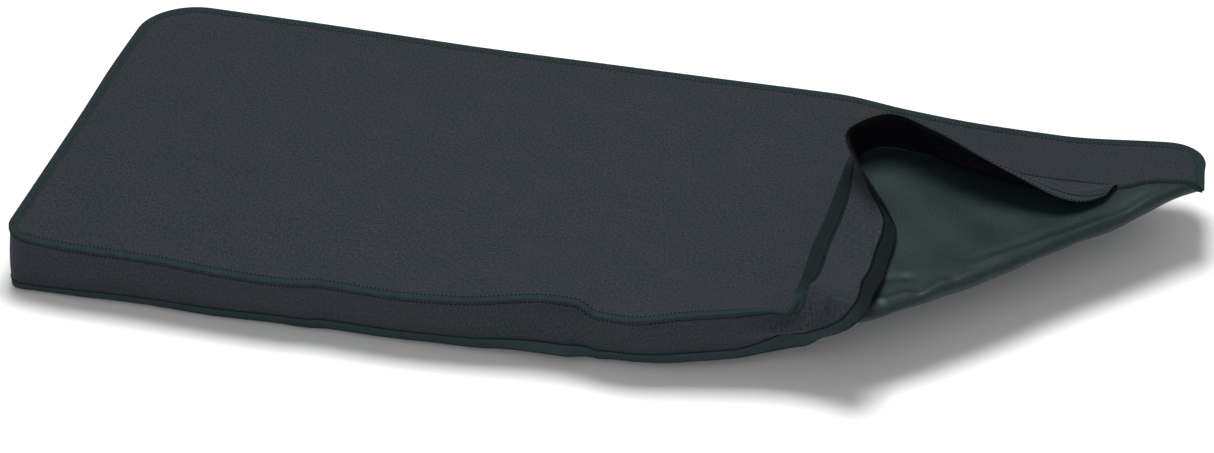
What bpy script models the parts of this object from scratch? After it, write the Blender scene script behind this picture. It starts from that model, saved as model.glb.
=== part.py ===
"""Fitted dust cover for a keyboard: a cloth top with a taped edge and a skirt all round.

The front right corner of the cover is folded diagonally back over the top, so its
coated underside shows there and the skirt of that corner lies and stands on the flap.

The cloth is described as a flat pattern, u to the right and v to the back, and one
function, place, says where each point of the pattern lies. A station q is a distance
along the pattern's outline, counter-clockwise from the left end of the front edge.
"""
import bmesh
import bpy
import numpy as np

# Driving sizes, in metres
LENGTH = 1.154
DEPTH = 0.468
SKIRT_DROP = 0.068
CORNER_FRONT_LEFT = 0.024
CORNER_BACK_LEFT = 0.062
CORNER_RIGHT = 0.044
CLOTH = 0.002
GAP = 0.0003

# The tape over the edge seam, and the tape that binds the hem
EDGE_TAPE_WIDTH = 0.011
EDGE_TAPE_HEIGHT = 0.003
HEM_TAPE_THICK = 0.003

# The fold: its line lies FOLD_AT from the centre, square to FOLD_ANGLE
FOLD_ANGLE = np.radians(-42.4)
FOLD_AT = 0.333
FOLD_RADIUS = 0.006
CORNER_LIFT = 0.026
CORNER_LIFT_REACH = 0.21

# How far the waves of three edges reach into the top, and how the skirt leaves the seam
WAVE_REACH = 0.130
SKIRT_STEM = 0.010
STEM_PER_BULGE = 0.4
STEM_SHARE = 0.36
BULGE_WINDOW = 0.030
TUCK_LOW = 1.6

# Waves of the edges in millimetres: place along the edge, right, back, up, reach (front edge only)
FRONT_EDGE = np.array([
    (-580, 0, -4, -2, 130),
    (-530, 0, -12, -4, 130),
    (-430, 0, -13, -4, 130),
    (-320, 0, -16, -6, 130),
    (-280, 0, -15, -6, 130),
    (-240, 0, -11, -4, 130),
    (-180, 0, -12, -4, 130),
    (-100, 0, -6, -2, 130),
    (-10, 0, 6, 7, 130),
    (8, 0, 6, 7, 130),
    (32, 0, 0, 0, 130),
    (60, 0, -1, 0, 130),
    (120, -3, 11, 7, 110),
    (170, -11, 21, 11, 85),
    (210, -21, 28, 15, 65),
    (236, -28, 30, 16, 60),
    (264, -30, 30, 16, 60),
    (280, -31, 23, 15, 60),
    (300, -28, 15, 13, 70),
    (340, -25, 6, 9, 90),
    (400, -21, 3, 4, 120),
    (440, -14, 0, 2, 130),
    (500, -5, 0, 0, 130),
    (580, 6, 0, 0, 130),
]) / 1000
LEFT_EDGE = np.array([
    (-234, 0, 0, 0),
    (-120, 1, 0, 0),
    (0, 0, 0, 0),
    (90, -2, 0, 0),
    (180, -1, 0, 0),
    (234, 0, 0, 0),
]) / 1000
BACK_EDGE = np.array([
    (-580, 0, 0, 0),
    (-400, 0, -1, 0),
    (-300, 0, -3, 0),
    (-200, 0, -5, 0),
    (-100, 0, -4, 0),
    (50, 0, -2, 0),
    (180, 0, 0, 0),
    (260, 0, -8, -3),
    (340, 0, -13, -5),
    (420, 0, -14, -5),
    (520, 0, -5, -2),
    (580, 0, 1, 0),
]) / 1000
RIGHT_EDGE = np.array([
    (-234, 0, 0, 0),
    (-60, 0, 2, 0),
    (40, 0, -2, 0),
    (70, 0, 2, 7),
    (100, 2, 4, 9),
    (130, 3, 4, 6),
    (150, 2, 0, 3),
    (190, -1, 0, 0),
    (234, -1, 0, 0),
]) / 1000

# The skirt in millimetres: station, then from seam to hem right, back and up, and its bulge
FRONT_HEM = np.array([
    (-20, 0, 1, -68, 4),
    (0, 0, 10, -67, 4),
    (60, 0, 16, -66, 4),
    (180, 0, 19, -65, 4),
    (260, 0, 24, -64, 4),
    (300, 0, 21, -65, 4),
    (400, 0, 22, -64, 4),
    (480, 0, 16, -66, 4),
    (540, 0, 6, -68, 4),
    (560, 0, 8, -68, 4),
    (580, 0, 21, -65, 4),
    (620, 0, 25, -63, 4),
    (670, 0, 19, -65, 4),
    (720, 3, 21, -65, 4),
    (760, 8, 24, -62, -6),
]) / 1000
FLAP_HEM = np.array([
    (790, 12, 24, -55, -20),
    (810, 26, 0, -40, -10),
    (820, 44, -19, -26, 6),
    (830, 59, -30, -13, 18),
    (850, 72, -32, 0, 22),
    (880, 74, -18, 4, 12),
    (920, 79, -9, 3, 6),
    (960, 79, -4, 3, 6),
    (1000, 73, -6, 3, 6),
    (1030, 61, -27, 12, 4),
    (1060, 45, -50, 23, 2),
    (1090, 22, -60, 33, 2),
    (1110, -6, -46, 44, 2),
    (1130, -9, -42, 51, 4),
    (1160, -4, -33, 56, 6),
    (1200, 0, -47, 56, 2),
    (1250, 3, -61, 47, 2),
    (1290, 4, -68, 36, 4),
    (1325, 2, -71, 24, 4),
    (1350, 0, -64, 15, 4),
    (1367, -3, -52, 10, 3),
    (1385, -8, -36, 7, 2),
]) / 1000
BACK_HEM = np.array([
    (1500, -66, 2, -18, 4),
    (1530, -63, -2, -24, 4),
    (1565, -60, -14, -36, 4),
    (1600, -50, -19, -50, 4),
    (1650, -26, -12, -62, 4),
    (1700, -6, -3, -67, 4),
    (1740, 0, -1, -68, 4),
    (1800, 0, -1, -68, 4),
    (2000, 0, 3, -68, 4),
    (2200, 0, -4, -67, 4),
    (2450, 0, 2, -68, 4),
    (2640, 0, -4, -67, 4),
    (2694, 8, -6, -67, 4),
    (2760, 12, 0, -67, 4),
    (2900, 16, 0, -66, 4),
    (3060, 11, 0, -67, 4),
]) / 1000

# In millimetres: station, the skirt's start inside the outline, hem tape's width, tuck over that tape
SEAM_AND_TAPE = np.array([
    (-20, 2, 8, 0),
    (0, 2, 8, 0),
    (60, 2, 11, 0),
    (120, 2, 12, 0),
    (300, 2, 17, 0),
    (700, 2, 17, 0),
    (730, 2, 17, 3),
    (760, 3, 18, 10),
    (790, 6, 19, 18),
    (812, 7, 17, 15),
    (830, 8, 14, 6),
    (860, 8, 12, 0),
    (900, 8.5, 12, 0),
    (1380, 8.5, 12, 0),
    (1500, 3, 16, 0),
    (1560, 2, 17, 0),
    (2900, 2, 17, 0),
    (3080, 2, 11, 0),
    (3120, 2, 8, 0),
]) / 1000

# Where the outline is cut into facets: from this station on, one facet each so many metres
FACETS = (
    (0.000, 0.040),
    (0.510, 0.014),
    (0.640, 0.030),
    (0.750, 0.0100),
    (0.780, 0.0045),
    (0.825, 0.0085),
    (0.885, 0.017),
    (1.000, 0.011),
    (1.160, 0.018),
    (1.360, 0.011),
    (1.445, 0.0047),
    (1.483, 0.012),
    (1.700, 0.050),
    (2.640, 0.014),
    (2.740, 0.048),
    (3.110, 0.009),
)
# Rows of the skirt, as shares of the way from seam to hem tape, and of the hem tape
SKIRT_ROWS = (0.0, 0.19, 0.46, 0.74, 1.0)
HEM_TAPE_ROWS = (0.0, 0.5, 1.0)

# The skirt's strips, from station to station; near the fold's right end it is turned under
FRONT_LEFT_JOIN = -0.019
FLAP_JOIN = 1.117
FLAP_END = 1.385
BACK_START = 1.500
BACK_LEFT_JOIN = 2.691
STRIPS = (
    ("front", FRONT_LEFT_JOIN, FLAP_JOIN),
    ("right", FLAP_JOIN, FLAP_END),
    ("back", BACK_START, BACK_LEFT_JOIN),
    ("left", BACK_LEFT_JOIN, None),
)

# Lines that cut the top into facets, in metres
CUTS_ACROSS = (-0.50, -0.42, -0.34, -0.26, -0.18, -0.10, -0.05, -0.02, 0.008, 0.032, 0.07,
               0.12, 0.17, 0.21, 0.25, 0.30, 0.36, 0.42, 0.48, 0.54)
CUTS_ALONG = (-0.20, -0.165, -0.13, -0.07, 0.0, 0.06, 0.104, 0.145, 0.19)
CUTS_BY_FOLD = (-0.05, 0.05)
FOLD_FACETS = 8

FOLD_OUT = np.array([np.cos(FOLD_ANGLE), np.sin(FOLD_ANGLE)])
FOLD_ALONG = np.array([-FOLD_OUT[1], FOLD_OUT[0]])

# Colours of the charcoal cloth and of its tapes
CHARCOAL = (0.030, 0.032, 0.045, 1.0)
EDGE_GREEN = (0.052, 0.066, 0.058, 1.0)
HEM_GREEN = (0.046, 0.062, 0.052, 1.0)


def smooth_table(table, at):
    """A table's columns at given places of its first column, along smooth curves."""
    places, values = table[:, 0], table[:, 1:]
    at = np.clip(np.asarray(at, float), places[0], places[-1])
    slopes = np.diff(values, axis=0) / np.diff(places)[:, None]
    tangents = np.vstack([slopes[:1], (slopes[1:] + slopes[:-1]) / 2, slopes[-1:]])
    turning = np.sign(slopes[1:]) != np.sign(slopes[:-1])
    tangents[1:-1][turning] = 0
    row = np.clip(np.searchsorted(places, at, side="right") - 1, 0, len(places) - 2)
    width = (places[row + 1] - places[row])[..., None]
    s = ((at - places[row]) / width[..., 0])[..., None]
    return ((2 * s**3 - 3 * s**2 + 1) * values[row]
            + (s**3 - 2 * s**2 + s) * width * tangents[row]
            + (3 * s**2 - 2 * s**3) * values[row + 1]
            + (s**3 - s**2) * width * tangents[row + 1])


def fade(distance, reach):
    """1 at no distance, falling smoothly to 0 at the reach."""
    return (0.5 + 0.5 * np.cos(np.pi * np.clip(distance / reach, 0, 1)))[..., None]


def place(u, v):
    """Where a point of the pattern lies, at the middle of the cloth."""
    u, v = np.asarray(u, float), np.asarray(v, float)
    past = u * FOLD_OUT[0] + v * FOLD_OUT[1] - FOLD_AT
    along = u * FOLD_ALONG[0] + v * FOLD_ALONG[1]
    arc = np.pi * FOLD_RADIUS
    turn = np.clip(past, 0, arc) / FOLD_RADIUS
    rolled = np.where(past < arc, FOLD_RADIUS * np.sin(turn), arc - past)
    reach = FOLD_AT + np.where(past <= 0, past, rolled)
    x = FOLD_OUT[0] * reach + FOLD_ALONG[0] * along
    y = FOLD_OUT[1] * reach + FOLD_ALONG[1] * along
    z = CLOTH / 2 + FOLD_RADIUS * (1 - np.cos(turn))
    point = np.stack([x, y, z], -1)
    front = smooth_table(FRONT_EDGE, u)
    point += front[..., :3] * fade(v + DEPTH / 2, front[..., 3])
    point += smooth_table(LEFT_EDGE, v) * fade(u + LENGTH / 2, WAVE_REACH)
    point += smooth_table(BACK_EDGE, u) * fade(DEPTH / 2 - v, WAVE_REACH)
    point += smooth_table(RIGHT_EDGE, v) * fade(LENGTH / 2 - u, WAVE_REACH)
    from_corner = np.hypot(u - LENGTH / 2, v + DEPTH / 2)
    point[..., 2:] += CORNER_LIFT * fade(from_corner, CORNER_LIFT_REACH)
    return point


def outer_side(u, v):
    """The cloth's outer side at a point of the pattern, as a unit vector."""
    step = 5e-4
    right = place(u + step, v) - place(u - step, v)
    back = place(u, v + step) - place(u, v - step)
    side = np.cross(right, back)
    return side / np.linalg.norm(side, axis=-1, keepdims=True)


def lay(uv, off):
    """A point of the pattern, moved off the cloth's middle towards its outer side."""
    u, v = uv[..., 0], uv[..., 1]
    return place(u, v) + outer_side(u, v) * off


def outline_runs():
    """The outline's straight and round runs: start, length, first point, direction, radius."""
    x, y = LENGTH / 2, DEPTH / 2
    front_left, back_left, right = CORNER_FRONT_LEFT, CORNER_BACK_LEFT, CORNER_RIGHT
    corners = (
        (LENGTH - front_left - right, (-x + front_left, -y), 0, right),
        (DEPTH - 2 * right, (x, -y + right), 90, right),
        (LENGTH - right - back_left, (x - right, y), 180, back_left),
        (DEPTH - back_left - front_left, (-x, y - back_left), 270, front_left),
    )
    runs, start = [], 0.0
    for straight, point, heading, radius in corners:
        ahead = np.array([np.cos(np.radians(heading)), np.sin(np.radians(heading))])
        aside = np.array([-ahead[1], ahead[0]])
        runs.append((start, straight, np.array(point), ahead, 0.0))
        start += straight
        centre = np.array(point) + ahead * straight + aside * radius
        runs.append((start, radius * np.pi / 2, centre, ahead, radius))
        start += radius * np.pi / 2
    return runs, start


RUNS, AROUND = outline_runs()
FULL_TURN = np.array([AROUND, 0, 0, 0, 0])
HEM = np.vstack([FRONT_HEM, FLAP_HEM, BACK_HEM])
HEM = np.vstack([HEM[-2:] - FULL_TURN, HEM, HEM[:2] + FULL_TURN])


def outline(q):
    """The pattern's outline at stations q, and the direction out of the pattern there."""
    q = np.asarray(q, float) % AROUND
    points, outward = np.zeros(q.shape + (2,)), np.zeros(q.shape + (2,))
    for start, length, point, ahead, radius in RUNS:
        here = (q >= start) & (q < start + length)
        s = (q[here] - start)[:, None]
        aside = np.array([-ahead[1], ahead[0]])
        turn = s / radius if radius else 0 * s
        out = np.sin(turn) * ahead - np.cos(turn) * aside
        outward[here] = out
        points[here] = point + radius * out if radius else point + s * ahead
    return points, outward


def inward(q, distance):
    """The pattern's points a distance inside its outline."""
    points, outward = outline(q)
    return points - outward * distance


def seam(q):
    """The edge seam of the placed cloth."""
    return lay(inward(q, 0.0), 0.0)


def seam_and_tape(q):
    """The skirt's start inside the outline, the share of the drop where the hem tape starts, the tuck."""
    first = SEAM_AND_TAPE[0, 0]
    found = smooth_table(SEAM_AND_TAPE, (q - first) % AROUND + first)
    inset, width, tuck = np.split(found, 3, axis=1)
    return inset, 1 - width / SKIRT_DROP, tuck


def skirt_rows(q):
    """The skirt's rows at stations q, as shares of the drop from seam to hem."""
    return seam_and_tape(q)[1] * SKIRT_ROWS


def hem_rows(q):
    """The hem tape's rows at stations q, as shares of the drop from seam to hem."""
    top = seam_and_tape(q)[1] + 2 * GAP / SKIRT_DROP
    return top + (1 - top) * HEM_TAPE_ROWS


def skirt(q, share):
    """The skirt's middle surface: stations down the first axis, shares of the drop along the second."""
    inset, tape_from, tuck = seam_and_tape(q)
    under_tape = inward(q, inset)
    start = lay(under_tape, -(EDGE_TAPE_HEIGHT / 2 + GAP))
    first = FRONT_HEM[0, 0]
    hem = smooth_table(HEM, (q - first) % AROUND + first)
    rim = seam(q) + hem[:, :3]
    reach = np.linalg.norm(rim - start, axis=-1, keepdims=True)
    under = -outer_side(under_tape[:, 0], under_tape[:, 1])
    stem = start + under * np.minimum(SKIRT_STEM + STEM_PER_BULGE * hem[:, 3:], STEM_SHARE * reach)
    ahead = seam(q + BULGE_WINDOW) - seam(q - BULGE_WINDOW)
    outward = np.cross(rim - start, ahead)
    outward /= np.linalg.norm(outward, axis=-1, keepdims=True)
    knee = start + 0.62 * (rim - start) + outward * hem[:, 3:]
    t = np.atleast_2d(share)[..., None]
    over_tape = tuck[:, None] * np.sin(np.pi * np.clip(t / tape_from[:, None], 0, 1)**TUCK_LOW)**2
    start, stem, knee, rim, outward = (p[:, None] for p in (start, stem, knee, rim, outward))
    return ((1 - t)**3 * start + 3 * t * (1 - t)**2 * stem + 3 * t**2 * (1 - t) * knee + t**3 * rim
            + over_tape * outward)


def skirt_side(q, share):
    """The skirt's outer side at each of its points."""
    step = 1e-3
    ahead = skirt(q + step, share) - skirt(q - step, share)
    down = skirt(q, np.asarray(share) + step) - skirt(q, np.asarray(share) - step)
    side = np.cross(down, ahead)
    return side / np.linalg.norm(side, axis=-1, keepdims=True)


def stations(first, last):
    """Stations from first to last, with the outline's own facets between them."""
    found = []
    for index, (start, step) in enumerate(FACETS):
        end = FACETS[index + 1][0] if index + 1 < len(FACETS) else AROUND
        count = max(1, round((end - start) / step))
        found.extend(start + (end - start) * k / count for k in range(count))
    ring = np.array(found)
    ring = np.concatenate([ring - AROUND, ring, ring + AROUND])
    clear = 0.002
    between = ring[(ring > first + clear) & (ring < last - clear)]
    return np.concatenate([[first], between, [last]])


def add_object(name, vertices, faces, colour, roughness):
    """A closed body as a named object with its own material."""
    mesh = bpy.data.meshes.new(name)
    mesh.from_pydata([tuple(p) for p in vertices], [], faces)
    mesh.validate()
    material = bpy.data.materials.new(name)
    material.use_nodes = True
    shader = material.node_tree.nodes["Principled BSDF"]
    shader.inputs["Base Color"].default_value = colour
    shader.inputs["Roughness"].default_value = roughness
    mesh.materials.append(material)
    body = bpy.data.objects.new(name, mesh)
    bpy.context.scene.collection.objects.link(body)
    bm = bmesh.new()
    bm.from_mesh(mesh)
    bmesh.ops.recalc_face_normals(bm, faces=bm.faces[:])
    bm.to_mesh(mesh)
    bm.free()
    return body


def halves(points, a, b, c, d):
    """A four-sided facet as two triangles, cut along its shorter diagonal."""
    across = np.linalg.norm(points[a] - points[c])
    if across <= np.linalg.norm(points[b] - points[d]):
        return [(a, b, c), (a, c, d)]
    return [(a, b, d), (b, c, d)]


def strip_body(name, middle, side, thickness, colour, roughness):
    """A sheet of rows and columns, thickened evenly to both sides and closed round its rim."""
    rows, columns = middle.shape[:2]
    outer = (middle + side * thickness / 2).reshape(-1, 3)
    inner = (middle - side * thickness / 2).reshape(-1, 3)
    count = len(outer)
    faces = []
    for i in range(rows - 1):
        for j in range(columns - 1):
            a, b = i * columns + j, (i + 1) * columns + j
            c, d = b + 1, a + 1
            for corners in halves(outer, a, b, c, d):
                faces.append(corners)
                faces.append(tuple(count + k for k in reversed(corners)))
    around = [i * columns for i in range(rows)]
    around += [(rows - 1) * columns + j for j in range(1, columns)]
    around += [i * columns + columns - 1 for i in range(rows - 2, -1, -1)]
    around += [j for j in range(columns - 2, 0, -1)]
    points = np.vstack([outer, inner])
    for a, b in zip(around, around[1:] + around[:1]):
        faces += halves(points, b, a, count + a, count + b)
    add_object(name, points, faces, colour, roughness)


def build_top():
    """The top: the pattern inside the tape, cut into facets, placed and thickened."""
    rim = inward(stations(0.0, AROUND)[:-1], EDGE_TAPE_WIDTH + GAP)
    bm = bmesh.new()
    bm.faces.new([bm.verts.new((p[0], p[1], 0)) for p in rim])
    arc = np.pi * FOLD_RADIUS
    fold_cuts = [arc * k / FOLD_FACETS for k in range(FOLD_FACETS + 1)]
    cuts = [((u, 0, 0), (1, 0, 0)) for u in CUTS_ACROSS]
    cuts += [((0, v, 0), (0, 1, 0)) for v in CUTS_ALONG]
    for past in fold_cuts + list(CUTS_BY_FOLD):
        at = FOLD_OUT * (FOLD_AT + past)
        cuts.append(((at[0], at[1], 0), (FOLD_OUT[0], FOLD_OUT[1], 0)))
    for point, normal in cuts:
        everything = bm.verts[:] + bm.edges[:] + bm.faces[:]
        bmesh.ops.bisect_plane(bm, geom=everything, dist=2e-4, plane_co=point, plane_no=normal)
    bmesh.ops.triangulate(bm, faces=bm.faces[:])
    bm.verts.index_update()
    uv = np.array([vertex.co[:2] for vertex in bm.verts])
    facets = [[corner.index for corner in face.verts] for face in bm.faces]
    edges = [(loop.vert.index, loop.link_loop_next.vert.index)
             for face in bm.faces for loop in face.loops if loop.edge.is_boundary]
    bm.free()
    count = len(uv)
    faces = facets + [[count + k for k in reversed(corners)] for corners in facets]
    for a, b in edges:
        faces.append((b, a, count + a))
        faces.append((b, count + a, count + b))
    vertices = np.vstack([lay(uv, CLOTH / 2), lay(uv, -CLOTH / 2)])
    add_object("top_panel", vertices, faces, CHARCOAL, 0.7)


def build_edge_tape():
    """The tape over the edge seam: a flat rounded section carried round the outline."""
    # Section of the tape: share of its width inward, share of its half height
    section = ((0.06, 0.55), (0.28, 1.0), (0.72, 1.0), (0.96, 0.55),
               (0.96, -0.55), (0.72, -1.0), (0.28, -1.0), (0.06, -0.55))
    q = stations(0.0, AROUND)[:-1]
    columns = [lay(inward(q, a * EDGE_TAPE_WIDTH), b * EDGE_TAPE_HEIGHT / 2) for a, b in section]
    vertices = np.stack(columns, 1).reshape(-1, 3)
    size, count = len(section), len(q)
    faces = []
    for i in range(count):
        for j in range(size):
            a, b = i * size + j, i * size + (j + 1) % size
            c, d = ((i + 1) % count) * size + (j + 1) % size, ((i + 1) % count) * size + j
            faces.append((a, b, c))
            faces.append((a, c, d))
    add_object("edge_tape", vertices, faces, EDGE_GREEN, 0.75)


def build_skirt():
    """The skirt's strips and the tape that binds each strip's hem."""
    for name, first, last in STRIPS:
        last = FRONT_LEFT_JOIN + AROUND if last is None else last
        q = stations(first + GAP / 2, last - GAP / 2)
        rows, hem = skirt_rows(q), hem_rows(q)
        strip_body("skirt_" + name, skirt(q, rows), skirt_side(q, rows), CLOTH, CHARCOAL, 0.7)
        strip_body("hem_tape_" + name, skirt(q, hem), skirt_side(q, hem),
                   HEM_TAPE_THICK, HEM_GREEN, 0.75)


for item in list(bpy.data.objects):
    bpy.data.objects.remove(item, do_unlink=True)
build_top()
build_edge_tape()
build_skirt()
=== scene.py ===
"""Looks of the fitted dust cover: cloth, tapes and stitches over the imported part.

The cloth is described as a flat pattern, u to the right and v to the back, and one
function, place, says where each point of the pattern lies. A station q is a distance
along the pattern's outline, counter-clockwise from the left end of the front edge.
"""

import math

import bpy
import numpy as np
from mathutils import Matrix


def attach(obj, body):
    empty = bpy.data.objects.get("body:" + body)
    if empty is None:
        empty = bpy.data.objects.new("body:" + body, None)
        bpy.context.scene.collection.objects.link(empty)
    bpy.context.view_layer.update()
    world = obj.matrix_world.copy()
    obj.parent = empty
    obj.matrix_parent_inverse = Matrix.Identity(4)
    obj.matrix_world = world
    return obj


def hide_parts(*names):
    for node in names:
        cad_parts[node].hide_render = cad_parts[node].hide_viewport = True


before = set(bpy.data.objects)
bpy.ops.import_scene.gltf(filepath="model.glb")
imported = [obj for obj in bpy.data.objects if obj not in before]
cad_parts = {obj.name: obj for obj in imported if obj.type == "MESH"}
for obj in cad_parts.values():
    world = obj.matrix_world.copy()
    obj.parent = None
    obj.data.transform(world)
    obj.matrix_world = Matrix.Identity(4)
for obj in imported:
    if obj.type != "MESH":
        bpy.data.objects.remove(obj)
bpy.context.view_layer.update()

# The part's own sizes, in metres
LENGTH = 1.154
DEPTH = 0.468
SKIRT_DROP = 0.068
CORNER_FRONT_LEFT = 0.024
CORNER_BACK_LEFT = 0.062
CORNER_RIGHT = 0.044
PART_CLOTH = 0.002
EDGE_TAPE_WIDTH = 0.011
PART_TAPE_HEIGHT = 0.003
GAP = 0.0003
FOLD_ANGLE = np.radians(-42.4)
FOLD_AT = 0.333
FOLD_RADIUS = 0.006
CORNER_LIFT = 0.026
CORNER_LIFT_REACH = 0.21
WAVE_REACH = 0.130
SKIRT_STEM = 0.010
STEM_PER_BULGE = 0.4
STEM_SHARE = 0.36
BULGE_WINDOW = 0.030
TUCK_LOW = 1.6
KNEE_AT = 0.62

# Thickness of the visible cloth, half that of each tape, and the threads
CLOTH = 0.0009
EDGE_TAPE_HALF = 0.00135
HEM_TAPE_HALF = 0.00105
WEAVE_PITCH = 0.0007
STITCH_LENGTH = 0.0024
STITCH_PITCH = 0.0042
THREAD = 0.00052
THREAD_TWIST = 0.0005
# Where the stitch lines run: a share of the edge tape's width, of its run down the skirt,
# and of the hem tape's height
EDGE_STITCHES_AT = 0.82
LOWER_STITCHES_AT = 0.84
HEM_STITCHES_AT = 0.12
RIM_STITCHES_AT = 0.90
# The share of its half thickness that a tape keeps in the groove of a stitch line
EDGE_GROOVE = 0.74
HEM_GROOVE = 0.82
# Across a hem tape its pattern runs over this width, whatever the tape's own
HEM_TAPE_NOMINAL = 0.017
# Stations over which the tapes are painted darker on the flap and turn back, and each tape's factor
# there: painted shade
FLAP_BEGINS = (0.810, 0.860)
FLAP_ENDS = (1.08, 1.14)
EDGE_TAPE_PAINTED_SHADE_ON_FLAP = 0.50
HEM_TAPE_PAINTED_SHADE_ON_FLAP = 0.30

# Meshes: the step that gives a direction along a seam, the pitch of a strip's columns, its rows
# above and inside the hem tape, and the edge tape's columns
STATION_STEP = 0.001
COLUMN_PITCH = 0.003
SKIRT_ROWS = 34
ROWS_IN_TAPE = 5
EDGE_TAPE_COLUMNS = 1200
# The top's mesh: how far it stops short of the outline, its rows in a corner and between, the
# share of the length from which on its columns are close together for the fold, the columns of both
TOP_MARGIN = 0.0012
CORNER_ROWS = 17
MIDDLE_ROWS = 100
FINE_FROM = 0.67
COARSE_COLUMNS = 130
FINE_COLUMNS = 221

# The top's swells and creases die out over this distance from its tape
RELIEF_FADE = 0.02
# Swells of the top: height in metres, turns along u and v, phase
SWELLS = (
    (0.00120, 31.0, 12.0, 0.4),
    (0.00090, -17.0, 44.0, 1.9),
    (0.00060, 58.0, -37.0, 3.1),
    (0.00035, 84.0, 71.0, 5.0),
)
# In millimetres: station, how far the edge tape runs down the skirt
TAPE_LIP = np.array([
    (-20, 3.0), (0, 3.0), (300, 3.0), (620, 3.0), (680, 4.0), (740, 5.5), (790, 6.0), (830, 14.0),
    (880, 20.0), (980, 20.0), (1050, 23.0), (1120, 4.0), (1370, 3.0), (1400, 1.0), (1480, 1.0),
    (1520, 3.0), (3200, 3.0),
]) / 1000
# How far the tape's outer side stands off the skirt's middle
TAPE_OFF = 0.0013
# Share of the tuck that stands up as a crease, and its place and width on the way to the hem tape
CREASE = 0.26
CREASE_AT = 0.94
CREASE_WIDTH = 0.045
# In millimetres: station, the hem's roll over its tape, the foot's roll inward, the stem's loss
FINER_SKIRT = np.array([
    (0, 0, 0, 0), (830, 0, 0, 0), (860, 5, 0, 5), (900, 6, 0, 8), (1000, 6, 0, 8),
    (1050, 3, 0, 6), (1080, 0, 0, 2), (1100, 0, 0, 0), (1165, 0, 0, 0), (1210, 0, 16, 0),
    (1270, 0, 24, 0), (1330, 0, 24, 0), (1365, 0, 10, 0), (1385, 0, 0, 0), (3200, 0, 0, 0),
]) / 1000
# How fast both rolls die out at seam and hem, the width of the hem's roll on the way to its tape,
# the share of the drop that the foot's roll takes, and how low it bends in it
ROLL_RATE = 8
HEM_ROLL_WIDTH = 0.20
FOOT_SHARE = 0.8
FOOT_LOW = 0.7
# Creases of the top: ends on the pattern, width, height off the outer side, in metres
CREASES = (
    (-0.558, 0.050, -0.560, -0.170, 0.008, 0.0022),
    (-0.430, -0.045, -0.360, -0.062, 0.014, 0.0020),
    (-0.305, -0.030, -0.185, -0.084, 0.018, 0.0022),
    (0.572, 0.110, 0.400, -0.095, 0.0045, -0.0022),
    (0.578, 0.098, 0.412, -0.100, 0.0045, 0.0014),
    (0.322, -0.176, 0.345, -0.150, 0.0050, -0.0030),
    (0.352, -0.186, 0.372, -0.152, 0.0055, 0.0026),
    (0.340, -0.140, 0.372, -0.120, 0.0065, -0.0022),
)

# Waves of the edges in millimetres: place along the edge, right, back, up, reach (front edge only)
FRONT_EDGE = np.array([
    (-580, 0, -4, -2, 130), (-530, 0, -12, -4, 130), (-430, 0, -13, -4, 130),
    (-320, 0, -16, -6, 130), (-280, 0, -15, -6, 130), (-240, 0, -11, -4, 130),
    (-180, 0, -12, -4, 130), (-100, 0, -6, -2, 130), (-10, 0, 6, 7, 130), (8, 0, 6, 7, 130),
    (32, 0, 0, 0, 130), (60, 0, -1, 0, 130), (120, -3, 11, 7, 110), (170, -11, 21, 11, 85),
    (210, -21, 28, 15, 65), (236, -28, 30, 16, 60), (264, -30, 30, 16, 60), (280, -31, 23, 15, 60),
    (300, -28, 15, 13, 70), (340, -25, 6, 9, 90), (400, -21, 3, 4, 120), (440, -14, 0, 2, 130),
    (500, -5, 0, 0, 130), (580, 6, 0, 0, 130),
]) / 1000
LEFT_EDGE = np.array([
    (-234, 0, 0, 0), (-120, 1, 0, 0), (0, 0, 0, 0), (90, -2, 0, 0), (180, -1, 0, 0), (234, 0, 0, 0),
]) / 1000
BACK_EDGE = np.array([
    (-580, 0, 0, 0), (-400, 0, -1, 0), (-300, 0, -3, 0), (-200, 0, -5, 0), (-100, 0, -4, 0),
    (50, 0, -2, 0), (180, 0, 0, 0), (260, 0, -8, -3), (340, 0, -13, -5), (420, 0, -14, -5),
    (520, 0, -5, -2), (580, 0, 1, 0),
]) / 1000
RIGHT_EDGE = np.array([
    (-234, 0, 0, 0), (-60, 0, 2, 0), (40, 0, -2, 0), (70, 0, 2, 7), (100, 2, 4, 9), (130, 3, 4, 6),
    (150, 2, 0, 3), (190, -1, 0, 0), (234, -1, 0, 0),
]) / 1000

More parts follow.
